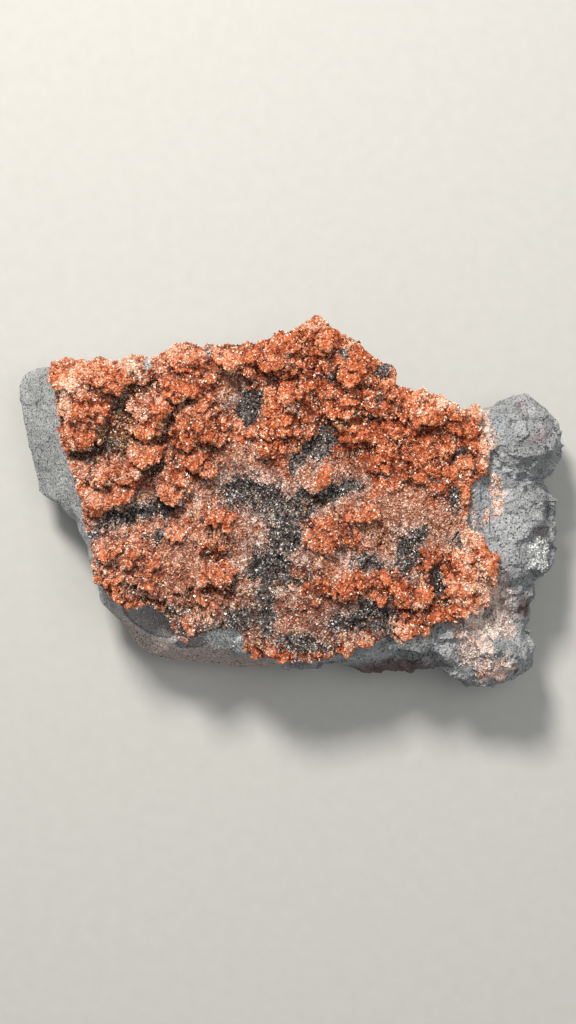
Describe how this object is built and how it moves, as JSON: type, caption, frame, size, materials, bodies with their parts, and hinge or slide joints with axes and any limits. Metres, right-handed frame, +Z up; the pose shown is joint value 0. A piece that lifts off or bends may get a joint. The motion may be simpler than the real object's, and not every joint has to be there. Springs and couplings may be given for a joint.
{
  "type": "hematite on matrix specimen",
  "caption": "Hand-sized mineral specimen: a crust of small sparkling red hematite crystals over the face of a broken grey rock, lying on its flat back.",
  "frame": {"origin": "middle of the specimen's box, at the level of the surface that its back rests on", "axes": "+X along the specimen's long side, +Y towards the long edge with the peak, +Z up out of the crystal crust"},
  "size_m": [0.1588, 0.104, 0.0404],
  "materials": {
    "grey_rock": "matt, fresh broken surface with fine dark specks",
    "hematite_crystals": "glittering crystal faces, orange red to dusty pink grey and grey black"
  },
  "bodies": {
    "root": {"matrix": "grey_rock", "hematite_crust": "hematite_crystals"}
  },
  "joints": []
}
